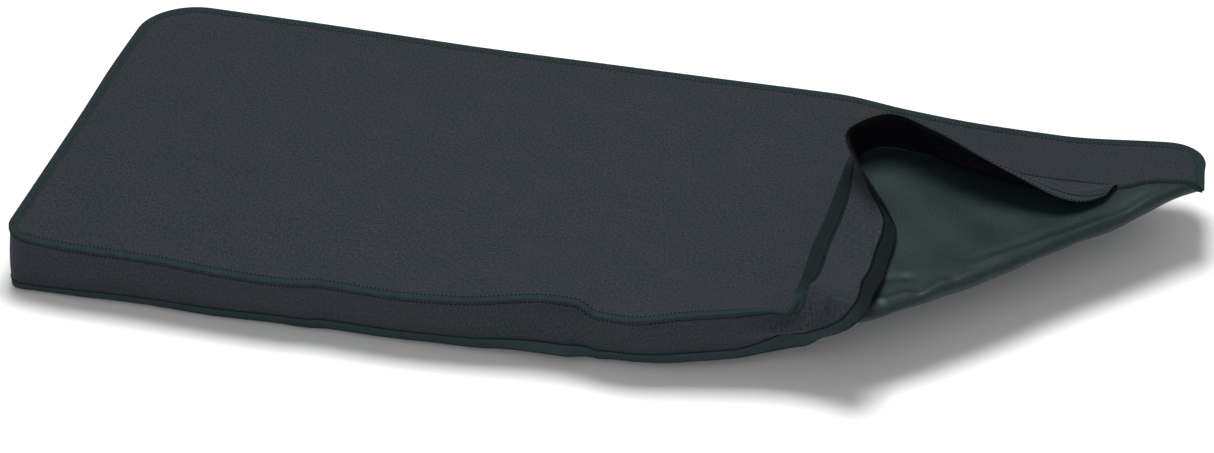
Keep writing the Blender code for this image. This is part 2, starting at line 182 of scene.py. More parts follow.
# The skirt in millimetres: station, then from seam to hem right, back and up, and its bulge
HEM = np.array([
    (-20, 0, 1, -68, 4), (0, 0, 10, -67, 4), (60, 0, 16, -66, 4), (180, 0, 19, -65, 4),
    (260, 0, 24, -64, 4), (300, 0, 21, -65, 4), (400, 0, 22, -64, 4), (480, 0, 16, -66, 4),
    (540, 0, 6, -68, 4), (560, 0, 8, -68, 4), (580, 0, 21, -65, 4), (620, 0, 25, -63, 4),
    (670, 0, 19, -65, 4), (720, 3, 21, -65, 4), (760, 8, 24, -62, -6), (790, 12, 24, -55, -20),
    (810, 26, 0, -40, -10), (820, 44, -19, -26, 6), (830, 59, -30, -13, 18), (850, 72, -32, 0, 22),
    (880, 74, -18, 4, 12), (920, 79, -9, 3, 6), (960, 79, -4, 3, 6), (1000, 73, -6, 3, 6),
    (1030, 61, -27, 12, 4), (1060, 45, -50, 23, 2), (1090, 22, -60, 33, 2), (1110, -6, -46, 44, 2),
    (1130, -9, -42, 51, 4), (1160, -4, -33, 56, 6), (1200, 0, -47, 56, 2), (1250, 3, -61, 47, 2),
    (1290, 4, -68, 36, 4), (1325, 2, -71, 24, 4), (1350, 0, -64, 15, 4), (1367, -3, -52, 10, 3),
    (1385, -8, -36, 7, 2), (1500, -66, 2, -18, 4), (1530, -63, -2, -24, 4),
    (1565, -60, -14, -36, 4), (1600, -50, -19, -50, 4), (1650, -26, -12, -62, 4),
    (1700, -6, -3, -67, 4), (1740, 0, -1, -68, 4), (1800, 0, -1, -68, 4), (2000, 0, 3, -68, 4),
    (2200, 0, -4, -67, 4), (2450, 0, 2, -68, 4), (2640, 0, -4, -67, 4), (2694, 8, -6, -67, 4),
    (2760, 12, 0, -67, 4), (2900, 16, 0, -66, 4), (3060, 11, 0, -67, 4),
]) / 1000

# In millimetres: station, the skirt's start inside the outline, hem tape's width, tuck over it
SEAM_AND_TAPE = np.array([
    (-20, 2, 8, 0), (0, 2, 8, 0), (60, 2, 11, 0), (120, 2, 12, 0), (300, 2, 17, 0), (700, 2, 17, 0),
    (730, 2, 17, 3), (760, 3, 18, 10), (790, 6, 19, 18), (812, 7, 15, 15), (830, 8, 10.5, 6),
    (860, 8, 11, 0), (900, 8.5, 12, 0), (1380, 8.5, 12, 0), (1500, 3, 16, 0), (1560, 2, 17, 0),
    (2900, 2, 17, 0), (3080, 2, 11, 0), (3120, 2, 8, 0),
]) / 1000

FRONT_LEFT_JOIN = -0.019
FLAP_JOIN = 1.117
FLAP_END = 1.385
BACK_START = 1.500
BACK_LEFT_JOIN = 2.691

FOLD_OUT = np.array([np.cos(FOLD_ANGLE), np.sin(FOLD_ANGLE)])
FOLD_ALONG = np.array([-FOLD_OUT[1], FOLD_OUT[0]])

# Camera, as solved from the photograph
CAMERA_AT = (0.725, -3.184, 2.106)
CAMERA_AZIMUTH = math.radians(13.04)
CAMERA_ELEVATION = math.radians(33.42)
CAMERA_ROLL = math.radians(1.0)
CAMERA_LENS = 113.04

FLOOR = -0.0738
FLOOR_REACH = 9.0
WORLD_STRENGTH = 0.32


def unit(vectors):
    """Vectors made one long."""
    return vectors / np.linalg.norm(vectors, axis=-1, keepdims=True)


def smooth_table(table, at):
    """A table's columns at given places of its first column, along smooth curves."""
    places, values = table[:, 0], table[:, 1:]
    at = np.clip(np.asarray(at, float), places[0], places[-1])
    slopes = np.diff(values, axis=0) / np.diff(places)[:, None]
    tangents = np.vstack([slopes[:1], (slopes[1:] + slopes[:-1]) / 2, slopes[-1:]])
    turning = np.sign(slopes[1:]) != np.sign(slopes[:-1])
    tangents[1:-1][turning] = 0
    row = np.clip(np.searchsorted(places, at, side="right") - 1, 0, len(places) - 2)
    width = (places[row + 1] - places[row])[..., None]
    s = ((at - places[row]) / width[..., 0])[..., None]
    return ((2 * s**3 - 3 * s**2 + 1) * values[row]
            + (s**3 - 2 * s**2 + s) * width * tangents[row]
            + (3 * s**2 - 2 * s**3) * values[row + 1]
            + (s**3 - s**2) * width * tangents[row + 1])


def fade(distance, reach):
    """1 at no distance, falling smoothly to 0 at the reach."""
    return (0.5 + 0.5 * np.cos(np.pi * np.clip(distance / reach, 0, 1)))[..., None]


def place(u, v):
    """Where a point of the pattern lies, at the middle of the cloth."""
    u, v = np.asarray(u, float), np.asarray(v, float)
    past = u * FOLD_OUT[0] + v * FOLD_OUT[1] - FOLD_AT
    along = u * FOLD_ALONG[0] + v * FOLD_ALONG[1]
    arc = np.pi * FOLD_RADIUS
    turn = np.clip(past, 0, arc) / FOLD_RADIUS
    rolled = np.where(past < arc, FOLD_RADIUS * np.sin(turn), arc - past)
    reach = FOLD_AT + np.where(past <= 0, past, rolled)
    x = FOLD_OUT[0] * reach + FOLD_ALONG[0] * along
    y = FOLD_OUT[1] * reach + FOLD_ALONG[1] * along
    z = PART_CLOTH / 2 + FOLD_RADIUS * (1 - np.cos(turn))
    point = np.stack([x, y, z], -1)
    front = smooth_table(FRONT_EDGE, u)
    point += front[..., :3] * fade(v + DEPTH / 2, front[..., 3])
    point += smooth_table(LEFT_EDGE, v) * fade(u + LENGTH / 2, WAVE_REACH)
    point += smooth_table(BACK_EDGE, u) * fade(DEPTH / 2 - v, WAVE_REACH)
    point += smooth_table(RIGHT_EDGE, v) * fade(LENGTH / 2 - u, WAVE_REACH)
    from_corner = np.hypot(u - LENGTH / 2, v + DEPTH / 2)
    point[..., 2:] += CORNER_LIFT * fade(from_corner, CORNER_LIFT_REACH)
    return point


def outer_side(u, v):
    """The cloth's outer side at a point of the pattern, as a unit vector."""
    step = 5e-4
    right = place(u + step, v) - place(u - step, v)
    back = place(u, v + step) - place(u, v - step)
    return unit(np.cross(right, back))


def lay(uv, off):
    """A point of the pattern, moved off the cloth's middle towards its outer side."""
    u, v = uv[..., 0], uv[..., 1]
    return place(u, v) + outer_side(u, v) * off


def outline_runs():
    """The outline's straight and round runs: start, length, first point, direction, radius."""
    x, y = LENGTH / 2, DEPTH / 2
    front_left, back_left, right = CORNER_FRONT_LEFT, CORNER_BACK_LEFT, CORNER_RIGHT
    corners = (
        (LENGTH - front_left - right, (-x + front_left, -y), 0, right),
        (DEPTH - 2 * right, (x, -y + right), 90, right),
        (LENGTH - right - back_left, (x - right, y), 180, back_left),
        (DEPTH - back_left - front_left, (-x, y - back_left), 270, front_left),
    )
    runs, start = [], 0.0
    for straight, point, heading, radius in corners:
        ahead = np.array([np.cos(np.radians(heading)), np.sin(np.radians(heading))])
        aside = np.array([-ahead[1], ahead[0]])
        runs.append((start, straight, np.array(point), ahead, 0.0))
        start += straight
        centre = np.array(point) + ahead * straight + aside * radius
        runs.append((start, radius * np.pi / 2, centre, ahead, radius))
        start += radius * np.pi / 2
    return runs, start


RUNS, AROUND = outline_runs()
FULL_TURN = np.array([AROUND, 0, 0, 0, 0])
FIRST_HEM = HEM[0, 0]
HEM = np.vstack([HEM[-2:] - FULL_TURN, HEM, HEM[:2] + FULL_TURN])


def outline(q):
    """The pattern's outline at stations q, and the direction out of the pattern there."""
    q = np.asarray(q, float) % AROUND
    points, outward = np.zeros(q.shape + (2,)), np.zeros(q.shape + (2,))
    for start, length, point, ahead, radius in RUNS:
        here = (q >= start) & (q < start + length)
        s = (q[here] - start)[:, None]
        aside = np.array([-ahead[1], ahead[0]])
        turn = s / radius if radius else 0 * s
        out = np.sin(turn) * ahead - np.cos(turn) * aside
        outward[here] = out
        points[here] = point + radius * out if radius else point + s * ahead
    return points, outward


def inward(q, distance):
    """The pattern's points a distance inside its outline."""
    points, outward = outline(q)
    return points - outward * distance


def seam(q):
    """The edge seam of the placed cloth."""
    return lay(inward(q, 0.0), 0.0)


def seam_and_tape(q):
    """The skirt's start inside the outline, its tape's start as a share of the drop, the tuck."""
    first = SEAM_AND_TAPE[0, 0]
    found = smooth_table(SEAM_AND_TAPE, (q - first) % AROUND + first)
    inset, width, tuck = np.split(found, 3, axis=1)
    return inset, 1 - width / SKIRT_DROP, tuck


def skirt(q, share):
    """The skirt's middle surface: stations on the first axis, shares of the drop on the second."""
    inset, tape_from, tuck = seam_and_tape(q)
    under_tape = inward(q, inset)
    start = lay(under_tape, -(PART_TAPE_HEIGHT / 2 + GAP))
    hem = smooth_table(HEM, (q - FIRST_HEM) % AROUND + FIRST_HEM)
    rim = seam(q) + hem[:, :3]
    reach = np.linalg.norm(rim - start, axis=-1, keepdims=True)
    under = -outer_side(under_tape[:, 0], under_tape[:, 1])
    finer = smooth_table(FINER_SKIRT, q % AROUND)
    longest_stem = SKIRT_STEM + STEM_PER_BULGE * hem[:, 3:]
    stem = start + under * (np.minimum(longest_stem, STEM_SHARE * reach) - finer[:, 2:])
    ahead = seam(q + BULGE_WINDOW) - seam(q - BULGE_WINDOW)
    outward = unit(np.cross(rim - start, ahead))
    knee = start + KNEE_AT * (rim - start) + outward * hem[:, 3:]
    t = np.atleast_2d(share)[..., None]
    to_tape = t / tape_from[:, None]
    over_tape = tuck[:, None] * np.sin(np.pi * np.clip(to_tape, 0, 1)**TUCK_LOW)**2
    start, stem, knee, rim, outward = (p[:, None] for p in (start, stem, knee, rim, outward))
    # Finer than the part: a crisp crease above the hem tape, the hem rolled down, the foot in
    crease = np.exp(-((to_tape - CREASE_AT) / CREASE_WIDTH)**2)
    over_tape = over_tape + CREASE * tuck[:, None] * crease
    finer = finer[:, None, :2] * np.clip(ROLL_RATE * np.minimum(t, 1 - t), 0, 1)
    over_tape = over_tape + finer[..., :1] * np.exp(-((to_tape - 1.0) / HEM_ROLL_WIDTH)**2)
    foot = np.sin(np.pi * np.clip(t / FOOT_SHARE, 0, 1)**FOOT_LOW)**2
    inside = unit(lay(inward(q, inset + STATION_STEP), 0) - lay(inward(q, inset), 0))[:, None]
    return ((1 - t)**3 * start + 3 * t * (1 - t)**2 * stem + 3 * t**2 * (1 - t) * knee + t**3 * rim
            + over_tape * outward + finer[..., 1:] * foot * inside)


def skirt_side(q, share):
    """The skirt's outer side at each of its points."""
    step = 1e-3
    ahead = skirt(q + step, share) - skirt(q - step, share)
    down = skirt(q, np.asarray(share) + step) - skirt(q, np.asarray(share) - step)
    return unit(np.cross(down, ahead))


# Node helpers
def new_material(name):
    """A material with its node tree, its shader and a maker of linked nodes."""
    material = bpy.data.materials.new(name)
    material.use_nodes = True
    tree = material.node_tree
    shader = tree.nodes["Principled BSDF"]

    def node(kind, links=(), **settings):
        made = tree.nodes.new(kind)
        for key, value in settings.items():
            setattr(made, key, value)
        for key, value in links:
            socket = made.inputs[key]
            if isinstance(value, bpy.types.NodeSocket):
                tree.links.new(value, socket)
            else:
                socket.default_value = value
        return made

    return material, tree, shader, node


def maths(node, operation, a, b=None):
    """The result of one scalar operation."""
    links = [(0, a)] if b is None else [(0, a), (1, b)]
    return node("ShaderNodeMath", links, operation=operation).outputs[0]


def added(node, a, b):
    """The sum of two values."""
    return maths(node, "ADD", a, b)


def scaled(node, value, factor):
    """A value times a factor."""
    return maths(node, "MULTIPLY", value, factor)


def pattern_xy(node):
    """The pattern's two coordinates, in metres."""
    where = node("ShaderNodeUVMap", uv_map="pattern").outputs[0]
    parts = node("ShaderNodeSeparateXYZ", [(0, where)])
    return where, parts.outputs[0], parts.outputs[1]


def noise(node, where, scale, stretch=(1, 1, 1), detail=2.0, roughness=0.5):
    """Noise over the pattern, from 0 to 1."""
    spread = node("ShaderNodeVectorMath", [(0, where), (1, stretch)], operation="MULTIPLY")
    made = node("ShaderNodeTexNoise", [("Vector", spread.outputs[0]), ("Scale", scale),
                                       ("Detail", detail), ("Roughness", roughness)])
    return made.outputs[0]


def between(node, value, low, high, to_low, to_high):
    """A value moved from one range to another."""
    made = node("ShaderNodeMapRange", [(0, value), (1, low), (2, high), (3, to_low), (4, to_high)])
    return made.outputs[0]


def tinted(node, factor, first, second):
    """A colour between two."""
    made = node("ShaderNodeMix", [(0, factor), (6, first), (7, second)], data_type="RGBA")
    return made.outputs[2]


def bumped(node, height, strength, distance):
    """A normal from a height."""
    made = node("ShaderNodeBump", [("Height", height), ("Strength", strength),
                                   ("Distance", distance)])
    return made.outputs[0]


def woven(node, along, across):
    """Height of a plain weave."""
    warp = maths(node, "SINE", scaled(node, along, math.pi / WEAVE_PITCH))
    weft = maths(node, "SINE", scaled(node, across, math.pi / WEAVE_PITCH))
    return maths(node, "ABSOLUTE", scaled(node, warp, weft))


def charcoal_cloth(name, shadow, light, ruddy, green, gloss):
    """Fine plain-woven nylon with uneven threads, and patches that lean to red or to green."""
    material, tree, shader, node = new_material(name)
    where, u, v = pattern_xy(node)
    weave = woven(node, u, v)
    thread = noise(node, where, 900.0, (1, 0.35, 1))
    cross_thread = noise(node, where, 900.0, (0.35, 1, 1))
    slubs = noise(node, where, 430.0, (1, 0.7, 1), 3.0, 0.65)
    grain = added(node, scaled(node, thread, 0.5), scaled(node, cross_thread, 0.5))
    uneven = added(node, scaled(node, grain, 0.45), scaled(node, slubs, 0.55))
    patches = noise(node, where, 21.0, (1, 1.5, 1), 3.0, 0.6)
    cast = tinted(node, between(node, patches, 0.36, 0.64, 0.0, 1.0), ruddy, green)
    spread = tinted(node, between(node, uneven, 0.36, 0.64, 0.0, 1.0), shadow, light)
    made = node("ShaderNodeMix", [(0, 1.0), (6, spread), (7, cast)],
                data_type="RGBA", blend_type="MULTIPLY")
    tree.links.new(made.outputs[2], shader.inputs["Base Color"])
    height = added(node, scaled(node, weave, 0.6), grain)
    tree.links.new(bumped(node, height, 0.35, 0.0004), shader.inputs["Normal"])
    tree.links.new(between(node, grain, 0.3, 0.7, 0.74, 0.88), shader.inputs["Roughness"])
    shader.inputs["Specular IOR Level"].default_value = gloss
    shader.inputs["Sheen Weight"].default_value = gloss / 5
    shader.inputs["Sheen Roughness"].default_value = 0.45
    shader.inputs["Sheen Tint"].default_value = (0.80, 0.84, 1.0, 1)
    return material


def coated_underside():
    """The top's inner side: a smooth grey-green coating with a soft gloss."""
    material, tree, shader, node = new_material("coated_underside")
    where, u, v = pattern_xy(node)
    weave = woven(node, u, v)
    clouds = noise(node, where, 13.0, detail=4.0, roughness=0.55)
    fine = noise(node, where, 330.0, detail=3.0)
    colour = tinted(node, between(node, clouds, 0.3, 0.7, 0.0, 1.0),
                    (0.0064, 0.0152, 0.0156, 1), (0.0112, 0.0224, 0.0224, 1))
    grained = tinted(node, between(node, fine, 0.35, 0.65, 0.0, 0.45),
                     colour, (0.0200, 0.0340, 0.0340, 1))
    tree.links.new(grained, shader.inputs["Base Color"])
    height = added(node, scaled(node, weave, 0.25), fine)
    tree.links.new(bumped(node, height, 0.12, 0.0003), shader.inputs["Normal"])
    tree.links.new(between(node, clouds, 0.3, 0.7, 0.44, 0.54), shader.inputs["Roughness"])
    shader.inputs["Specular IOR Level"].default_value = 0.20
    return material


def ribbed_tape(name, dark, light, pitch, lean, edge_painted_light, turned_at, turned_side_painted_shade, painted_shade_on_flap):
    """A twill tape with slanting ribs and a stitch groove near its inner edge. Across it, the inner
    edge is painted lighter (painted highlight) or darker (painted shade) and the stitch groove
    painted darker (painted shade); past turned_at is its other side, painted darker (painted
    shade); on the flap it is painted darker (painted shade).
    """
    material, tree, shader, node = new_material(name)
    where, along, across = pattern_xy(node)
    slant = added(node, along, scaled(node, across, lean))
    ribs = maths(node, "SINE", scaled(node, slant, 2 * math.pi / pitch))
    rib = between(node, ribs, -1.0, 1.0, 0.0, 1.0)
    fibres = noise(node, where, 700.0, (1, 0.6, 1))
    worn = noise(node, where, 120.0, detail=3.0, roughness=0.6)
    uneven = added(node, scaled(node, fibres, 0.45), scaled(node, worn, 0.35))
    mixed = added(node, scaled(node, rib, 0.40), uneven)
    colour = tinted(node, between(node, mixed, 0.34, 0.86, 0.0, 1.0), dark, light)
    # Across the tape: its inner edge painted lighter (painted highlight on the edge tape) or darker
    # (painted shade on the hem tape), the groove of its stitches painted darker (painted shade),
    # then the plain tape
    painted_light_into_groove = between(node, across, 0.0009, 0.0013, edge_painted_light, 0.35)
    painted_edge_and_groove = added(node, painted_light_into_groove, between(node, across, 0.0029, 0.0034, 0.0, 0.65))
    # Past turned_at, the tape's other side is painted darker: painted shade, nearly black on the
    # hem tape's inner side inside the standing skirt
    turned = between(node, across, turned_at - 0.0004, turned_at + 0.0004, 1.0, turned_side_painted_shade)
    # On the flap both tapes are painted darker: painted shade
    on_flap = scaled(node, between(node, along, *FLAP_BEGINS, 0.0, 1.0),
                     between(node, along, *FLAP_ENDS, 1.0, 0.0))
    painted_flap_shade = between(node, on_flap, 0.0, 1.0, 1.0, painted_shade_on_flap)
    shade = scaled(node, scaled(node, painted_edge_and_groove, turned), painted_flap_shade)
    made = node("ShaderNodeVectorMath", [(0, colour), ("Scale", shade)], operation="SCALE")
    tree.links.new(made.outputs[0], shader.inputs["Base Color"])
    height = added(node, scaled(node, rib, 0.7), scaled(node, fibres, 0.6))
    tree.links.new(bumped(node, height, 0.5, 0.0004), shader.inputs["Normal"])
    tree.links.new(between(node, fibres, 0.3, 0.7, 0.74, 0.88), shader.inputs["Roughness"])
    shader.inputs["Specular IOR Level"].default_value = 0.05
    shader.inputs["Sheen Weight"].default_value = 0.01
    shader.inputs["Sheen Roughness"].default_value = 0.5
    return material


def thread_material(name, dark, light):
    """Sewing thread with its twist."""
    material, tree, shader, node = new_material(name)
    along, across = pattern_xy(node)[1:]
    slant = scaled(node, added(node, along, across), 2 * math.pi / THREAD_TWIST)
    twist = maths(node, "SINE", slant)
    colour = tinted(node, between(node, twist, -1.0, 1.0, 0.0, 1.0), dark, light)
    tree.links.new(colour, shader.inputs["Base Color"])
    tree.links.new(bumped(node, twist, 0.3, 0.0002), shader.inputs["Normal"])
    shader.inputs["Roughness"].default_value = 0.75
    shader.inputs["Specular IOR Level"].default_value = 0.08
    return material


NYLON = charcoal_cloth(
    "charcoal_nylon", shadow=(0.0058, 0.0080, 0.0108, 1), light=(0.0308, 0.0370, 0.0440, 1),
    ruddy=(1.10, 1.00, 1.07, 1), green=(0.89, 0.99, 0.94, 1), gloss=0.15)
# The skirt's inner side: charcoal nylon made far darker than the outer side, partly its own darker
# side and partly painted shade for the pocket inside the standing skirt on the flap
NYLON_INSIDE_PAINTED_SHADE = charcoal_cloth(
    "charcoal_inside_painted_shade", shadow=(0.0004, 0.0004, 0.0008, 1), light=(0.0090, 0.0090, 0.0130, 1),
    ruddy=(1.06, 0.96, 1.0, 1), green=(0.96, 1.05, 1.0, 1), gloss=0.015)
COATING = coated_underside()
# The edge tape: inner edge painted lighter (painted highlight), stitch groove darker, lower side a
# little darker and darker on the flap (painted shade)
EDGE_TAPE = ribbed_tape(
    "edge_tape_twill", dark=(0.0070, 0.0135, 0.0150, 1), light=(0.0250, 0.0385, 0.0410, 1),
    pitch=0.0022, lean=1.0, edge_painted_light=1.35, turned_at=EDGE_TAPE_WIDTH, turned_side_painted_shade=0.95,
    painted_shade_on_flap=EDGE_TAPE_PAINTED_SHADE_ON_FLAP)
# The hem tape: upper edge and stitch groove painted darker, inner side painted nearly black, and
# darker on the flap: all painted shade
HEM_TAPE = ribbed_tape(
    "hem_tape_twill", dark=(0.0095, 0.0180, 0.0200, 1), light=(0.0350, 0.0540, 0.0570, 1),
    pitch=0.0028, lean=1.2, edge_painted_light=0.75, turned_at=HEM_TAPE_NOMINAL, turned_side_painted_shade=0.10,
    painted_shade_on_flap=HEM_TAPE_PAINTED_SHADE_ON_FLAP)
THREAD_PALE = thread_material(
    "sewing_thread", dark=(0.038, 0.054, 0.054, 1), light=(0.064, 0.084, 0.084, 1))
THREAD_DARK = thread_material(
    "dark_thread", dark=(0.0015, 0.0025, 0.0025, 1), light=(0.0040, 0.0055, 0.0055, 1))


def make_piece(name, points, faces, pattern, materials, indices, replaced):
    """A closed smooth mesh with its pattern coordinates, riding on the part."""
    mesh = bpy.data.meshes.new(name)
    mesh.from_pydata(points.tolist(), [], faces)
    layer = mesh.uv_layers.new(name="pattern")
    corner = np.zeros(len(mesh.loops), dtype=np.int32)
    mesh.loops.foreach_get("vertex_index", corner)
    layer.data.foreach_set("uv", pattern[corner].astype(np.float32).ravel())
    for material in materials:
        mesh.materials.append(material)
    mesh.polygons.foreach_set("material_index", np.asarray(indices, dtype=np.int32))
    mesh.polygons.foreach_set("use_smooth", np.ones(len(mesh.polygons), dtype=bool))
    mesh.update()
    piece = bpy.data.objects.new(name, mesh)
    bpy.context.scene.collection.objects.link(piece)
    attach(piece, "root")
    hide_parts(*replaced)
    return piece


def thick_sheet(name, outer, inner, pattern, materials, replaced):
    """A sheet of rows and columns with an outer and an inner side, closed round its rim."""
    rows, columns = outer.shape[:2]
    count = rows * columns
    faces, indices = [], []
    grid = np.arange(count).reshape(rows, columns)
    a, b = grid[:-1, :-1].ravel(), grid[1:, :-1].ravel()
    c, d = grid[1:, 1:].ravel(), grid[:-1, 1:].ravel()
    upper = np.stack([a, b, c, d], 1)
    lower = np.stack([d, c, b, a], 1) + count
    faces += upper.tolist() + lower.tolist()
    indices += [0] * len(upper) + [1] * len(lower)
    ring = np.concatenate([grid[:, 0], grid[-1, 1:], grid[-2::-1, -1], grid[0, -2:0:-1]])
    following = np.roll(ring, -1)
    rim = np.stack([following, ring, ring + count, following + count], 1)
    faces += rim.tolist()
    indices += [0] * len(rim)
    points = np.vstack([outer.reshape(-1, 3), inner.reshape(-1, 3)])
    both = np.vstack([pattern.reshape(-1, 2)] * 2)
    return make_piece(name, points, faces, both, materials, indices, replaced)


def row_places():
    """Places of the top's rows from front to back, close together in the rounded corners."""
    y = DEPTH / 2 - TOP_MARGIN
    turn = np.radians(np.linspace(0, 90, CORNER_ROWS))
    front = -y + (CORNER_RIGHT - TOP_MARGIN) * (1 - np.cos(turn))
    back = y - (CORNER_BACK_LEFT - TOP_MARGIN) * (1 - np.cos(turn))
    middle = np.linspace(front[-1], back[-1], MIDDLE_ROWS + 2)[1:-1]
    return np.concatenate([front, middle, back[::-1]])


def corner_inset(v, edge, radius):
    """How far the outline draws in at height v, for a rounded corner at that edge."""
    into = np.clip(radius - np.abs(edge - v), 0, radius)
    return radius - np.sqrt(np.maximum(radius**2 - into**2, 0))


def relief(uv):
    """How far the top's cloth rises off its even run: soft swells, creases and hollows."""
    u, v = uv[..., 0], uv[..., 1]
    rise = np.zeros(u.shape)
    for height, turns_u, turns_v, phase in SWELLS:
        rise += height * np.sin(turns_u * u + turns_v * v + phase)
    for u0, v0, u1, v1, width, height in CREASES:
        run = np.array([u1 - u0, v1 - v0])
        share = ((u - u0) * run[0] + (v - v0) * run[1]) / (run @ run)
        near = np.clip(share, 0, 1)
        away = np.hypot(u - u0 - near * run[0], v - v0 - near * run[1])
        # Half as high at its ends
        whole = np.clip(4 * np.minimum(share, 1 - share) + 0.5, 0, 1)
        rise += height * np.exp(-(away / width)**2) * whole
    inside = np.minimum(LENGTH / 2 - np.abs(u), DEPTH / 2 - np.abs(v)) - EDGE_TAPE_WIDTH
    return rise * np.clip(inside / RELIEF_FADE, 0, 1)**2


def build_top():
    """The top: one sheet that runs under its tape all round."""
    v = row_places()
    x, y = LENGTH / 2 - TOP_MARGIN, DEPTH / 2 - TOP_MARGIN
    left = -x + np.where(v < 0, corner_inset(v, -y, CORNER_FRONT_LEFT - TOP_MARGIN),
                         corner_inset(v, y, CORNER_BACK_LEFT - TOP_MARGIN))
    right = x - np.where(v < 0, corner_inset(v, -y, CORNER_RIGHT - TOP_MARGIN),
                         corner_inset(v, y, CORNER_RIGHT - TOP_MARGIN))
    share = np.concatenate([np.linspace(0, FINE_FROM, COARSE_COLUMNS + 1)[:-1],
                            np.linspace(FINE_FROM, 1, FINE_COLUMNS)])
    u = left[:, None] + (right - left)[:, None] * share
    uv = np.stack([u, np.broadcast_to(v[:, None], u.shape)], -1)
    uv = uv.transpose(1, 0, 2)[:, ::-1]
    rise = relief(uv)[..., None]
    outer, inner = lay(uv, CLOTH / 2 + rise), lay(uv, rise - CLOTH / 2)
    return thick_sheet("cloth_top", outer, inner, uv, [NYLON, COATING], ["top_panel"])


def even_stations(first, last):
    """Stations at an even pitch from first to last."""
    return np.linspace(first, last, int(round((last - first) / COLUMN_PITCH)) + 1)


def build_skirt(name, first, last):
    """One strip of the skirt, from under the edge tape down into its hem tape."""
    q = even_stations(first, last)
    tape_from = seam_and_tape(q)[1]
    above_tape = tape_from * np.linspace(0, 1, SKIRT_ROWS)
    # Inside the tape from 15 to 95 % of its height
    in_tape = 1 - (1 - tape_from) * np.linspace(0.85, 0.05, ROWS_IN_TAPE)
    share = np.hstack([above_tape, in_tape])
    middle, side = skirt(q, share), skirt_side(q, share)
    # One more row carries the strip up against the top's inner side
    sewn_to = lay(inward(q, seam_and_tape(q)[0]), 0)[:, None]
    middle = np.hstack([sewn_to, middle])
    side = np.hstack([side[:, :1], side])
    share = np.hstack([0 * tape_from - 0.03, share])
    pattern = np.stack(np.broadcast_arrays(q[:, None], share * SKIRT_DROP), -1)
    # Its inner side takes the much darker nylon that carries painted shade
    return thick_sheet("cloth_skirt_" + name, middle + side * CLOTH / 2, middle - side * CLOTH / 2,
                       pattern, [NYLON, NYLON_INSIDE_PAINTED_SHADE], ["skirt_" + name])


def band(name, columns, pattern, closed, material, replaced):
    """A tape: a closed section carried along, either round the whole outline or capped."""
    count, size = columns.shape[:2]
    grid = np.arange(count * size).reshape(count, size)
    ahead = np.roll(grid, -1, 0) if closed else grid[1:]
    here = grid if closed else grid[:-1]
    faces = np.stack([here, np.roll(here, -1, 1), np.roll(ahead, -1, 1), ahead], -1)
    faces = faces.reshape(-1, 4).tolist()
    if not closed:
        half = size // 2
        for ring, forward in ((grid[0], True), (grid[-1], False)):
            for k in range(half - 1):
                quad = [ring[k], ring[k + 1], ring[size - 2 - k], ring[size - 1 - k]]
                faces.append([int(i) for i in (quad[::-1] if forward else quad)])
    return make_piece(name, columns.reshape(-1, 3), faces, pattern.reshape(-1, 2), [material],
                      [0] * len(faces), replaced)


def build_edge_tape():
    """The tape folded over the edge seam; its lower side runs on down the skirt."""
    q = np.linspace(0, AROUND, EDGE_TAPE_COLUMNS + 1)[:-1]
    # Share of the width inward, and of the half height
    upper = [(0.006, 0.30), (0.03, 0.66), (0.08, 0.90), (0.16, 1.02), (0.30, 1.10), (0.48, 1.12),
             (0.64, 1.02), (0.76, 0.86), (EDGE_STITCHES_AT, EDGE_GROOVE), (0.88, 1.00),
             (0.94, 1.12), (0.98, 0.80), (1.0, 0.30)]
    lower = [(0.03, 0.66), (0.10, 0.92), (0.25, 1.04), (0.50, 1.10), (0.75, 1.08), (1.0, 1.0)]
    # Share of its run down the skirt, and of how far it stands off
    on_skirt = [(0.3, 1.0), (0.6, 1.05), (0.82, 1.0), (0.95, 0.85), (1.0, 0.4)]
    # Its hidden side runs back inside the cloth
    hidden = [(1.0, 0.0), (0.2, 0.0)]
    # Tape widths of the pattern that the lower side and the run down the skirt take
    under, down = 0.7, 0.4
    reach = np.maximum(seam_and_tape(q)[0] - TAPE_OFF, CLOTH)
    columns, girth = [], []
    for a, b in reversed(upper):
        columns.append(lay(inward(q, a * EDGE_TAPE_WIDTH), b * EDGE_TAPE_HALF))
        girth.append((1 - a) * EDGE_TAPE_WIDTH)
    for a, b in lower:
        columns.append(lay(inward(q, a * reach), -b * EDGE_TAPE_HALF))
        girth.append((1 + a * under) * EDGE_TAPE_WIDTH)
    for a, b in on_skirt + hidden:
        share = a * smooth_table(TAPE_LIP, q) / SKIRT_DROP
        columns.append((skirt(q, share) + skirt_side(q, share) * b * TAPE_OFF)[:, 0])
        girth.append((1 + under + a * down) * EDGE_TAPE_WIDTH)
    pattern = np.stack(np.broadcast_arrays(q[:, None], np.array(girth)[None, :]), -1)
    return band("tape_edge", np.stack(columns, 1), pattern, True, EDGE_TAPE, ["edge_tape"])


def build_hem_tape(name, first, last):
    """The tape that binds one strip's hem, folded round it."""
    q = even_stations(first, last)
    tape_from = seam_and_tape(q)[1]
    # Share of the tape's height from its upper edge down, and of its half thickness
    outer = [(0.0, 0.45), (0.02, 0.85), (0.06, 1.0), (HEM_STITCHES_AT, HEM_GROOVE), (0.20, 1.0),
             (0.34, 1.05), (0.5, 1.05), (0.7, 1.05), (0.86, 1.0), (0.95, 0.85), (0.985, 0.5)]
    section = outer + [(a, -b) for a, b in reversed(outer)]
    half = np.array([b for a, b in section]) * HEM_TAPE_HALF
    share = tape_from + (1 - tape_from) * np.array([a for a, b in section])
    middle, side = skirt(q, share), skirt_side(q, share)
    columns = middle + side * half[None, :, None]
    # The pattern runs on round the hem to the inner side
    round_hem = [a for a, b in outer] + [2 - a for a, b in reversed(outer)]
    pattern = np.stack(np.broadcast_arrays(q[:, None], np.array(round_hem) * HEM_TAPE_NOMINAL), -1)
    return band("tape_hem_" + name, columns[:, ::-1], pattern[:, ::-1], False, HEM_TAPE,
                ["hem_tape_" + name])


